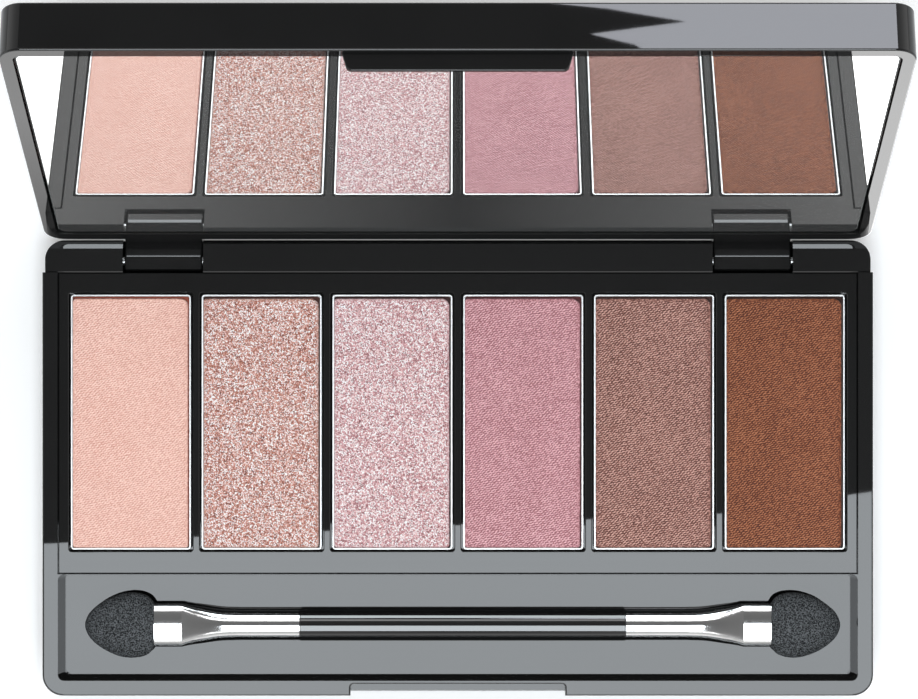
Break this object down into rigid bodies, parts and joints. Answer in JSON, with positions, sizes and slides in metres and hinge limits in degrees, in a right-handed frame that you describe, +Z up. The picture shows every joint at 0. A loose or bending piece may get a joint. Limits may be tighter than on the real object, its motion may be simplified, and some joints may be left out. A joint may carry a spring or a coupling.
{
  "type": "eyeshadow palette",
  "caption": "Slim black cosmetic compact: hinged lid with a full mirror, pressed powders in metal pans, and a double-ended sponge applicator in a trough.",
  "frame": {"origin": "centre of the base's flat underside", "axes": "+X to the user's right along the row of pans, +Y from the latch to the hinge, +Z up out of the pans"},
  "size_m": [0.12, 0.095, 0.0636],
  "materials": {
    "case": "high gloss black",
    "tray": "high gloss black",
    "handle": "high gloss black",
    "ferrule": "polished",
    "pin": "drawn wire",
    "mirror": "silvered glass",
    "tape": "foam tape",
    "glue": "hot-melt glue",
    "sponge": "fine open-cell foam",
    "core": "moulded",
    "pan": "drawn sheet",
    "powder_peach": "pressed matte powder",
    "powder_rose_gold": "pressed shimmer powder",
    "powder_pink_glitter": "pressed shimmer powder",
    "powder_mauve": "pressed matte powder",
    "powder_taupe": "pressed shimmer powder",
    "powder_chestnut": "pressed matte powder"
  },
  "bodies": {
    "base": {"base_shell": "case", "pan_tray": "tray", "pan_glue": "glue", "hinge_pin_left": "pin", "hinge_pin_right": "pin", "pan_peach": "pan", "pan_rose_gold": "pan", "pan_pink_glitter": "pan", "pan_mauve": "pan", "pan_taupe": "pan", "pan_chestnut": "pan", "powder_peach": "powder_peach", "powder_rose_gold": "powder_rose_gold", "powder_pink_glitter": "powder_pink_glitter", "powder_mauve": "powder_mauve", "powder_taupe": "powder_taupe", "powder_chestnut": "powder_chestnut"},
    "lid": {"lid_shell": "case", "mirror": "mirror", "mirror_tape": "tape"},
    "applicator": {"applicator_handle": "handle", "ferrule_left": "ferrule", "ferrule_right": "ferrule", "tip_core_left": "core", "tip_core_right": "core", "sponge_tip_left": "sponge", "sponge_tip_right": "sponge"}
  },
  "joints": [
    {"name": "lid_hinge", "type": "hinge", "parent": "base", "child": "lid", "pos_m": [0, 0.0299, 0.0062], "axis": [-1, 0, 0], "range_deg": [-112.1, 0]},
    {"name": "applicator_lift", "type": "slide", "parent": "base", "child": "applicator", "axis": [0, 0, 1], "range_m": [0, 0.04]}
  ]
}
